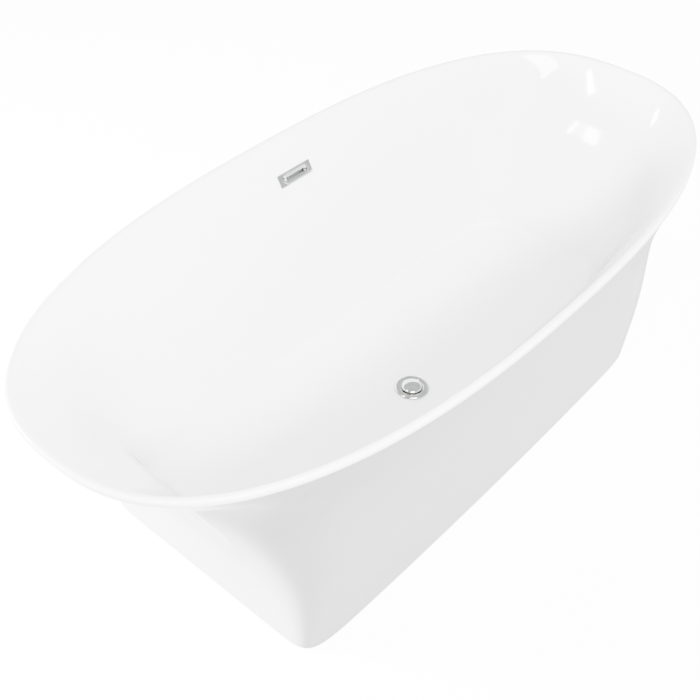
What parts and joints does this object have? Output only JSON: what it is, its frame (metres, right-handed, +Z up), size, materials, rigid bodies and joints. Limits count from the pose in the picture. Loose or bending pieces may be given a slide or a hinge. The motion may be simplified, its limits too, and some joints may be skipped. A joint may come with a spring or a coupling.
{
  "type": "freestanding bathtub",
  "caption": "Oval double-ended soaking tub with a slim rim, a skirt that narrows to a rectangular base, a pop-up drain, a slotted overflow and levelling feet.",
  "frame": {"origin": "On the floor under the middle of the tub", "axes": "+X along the tub, +Y towards the side with the overflow, +Z up"},
  "size_m": [1.7, 0.8139, 0.567],
  "materials": {
    "white_acrylic": "high-gloss white sanitary acrylic",
    "bond_resin": "cured glass-fibre bonding resin",
    "board_plywood": "resin-coated plywood",
    "bearer_pine": "sawn softwood",
    "frame_steel": "grey powder-coated steel tube",
    "zinc_steel": "zinc-plated steel",
    "black_rubber": "black rubber",
    "chrome_plate": "polished chrome plate",
    "brass_raw": "turned brass",
    "white_pipe_plastic": "moulded white polypropylene",
    "grey_plastic": "grey flexible polyethylene"
  },
  "bodies": {
    "tub": {"basin": "white_acrylic", "skirt": "white_acrylic", "rim_bond": "bond_resin", "floor_board": "board_plywood", "bearers": "bearer_pine", "bearer_screws": "zinc_steel", "front_rail": "frame_steel", "back_rail": "frame_steel", "end_tubes": "frame_steel", "weld_nuts": "zinc_steel", "drain_flange": "chrome_plate", "drain_seal": "black_rubber", "drain_gasket": "black_rubber", "drain_washer": "grey_plastic", "drain_locknut": "brass_raw", "stopper_cartridge": "brass_raw", "waste_tee": "white_pipe_plastic", "overflow_cover": "chrome_plate", "overflow_screws": "zinc_steel", "overflow_gasket": "black_rubber", "overflow_housing": "white_pipe_plastic", "overflow_hose": "grey_plastic", "upper_hose_nut": "white_pipe_plastic", "lower_hose_nut": "white_pipe_plastic"},
    "stopper": {"stopper_cap": "chrome_plate", "stopper_seal": "black_rubber"},
    "levelling_foot_1": {"foot_1": "zinc_steel", "foot_sole_1": "black_rubber"},
    "levelling_foot_2": {"foot_2": "zinc_steel", "foot_sole_2": "black_rubber"},
    "levelling_foot_3": {"foot_3": "zinc_steel", "foot_sole_3": "black_rubber"},
    "levelling_foot_4": {"foot_4": "zinc_steel", "foot_sole_4": "black_rubber"}
  },
  "joints": [
    {"name": "stopper_lift", "type": "slide", "parent": "tub", "child": "stopper", "axis": [0, 0, 1], "range_m": [0, 0.009]},
    {"name": "foot_1_thread", "type": "slide", "parent": "tub", "child": "levelling_foot_1", "axis": [0, 0, -1], "range_m": [0, 0.015]},
    {"name": "foot_2_thread", "type": "slide", "parent": "tub", "child": "levelling_foot_2", "axis": [0, 0, -1], "range_m": [0, 0.015]},
    {"name": "foot_3_thread", "type": "slide", "parent": "tub", "child": "levelling_foot_3", "axis": [0, 0, -1], "range_m": [0, 0.015]},
    {"name": "foot_4_thread", "type": "slide", "parent": "tub", "child": "levelling_foot_4", "axis": [0, 0, -1], "range_m": [0, 0.015]}
  ]
}
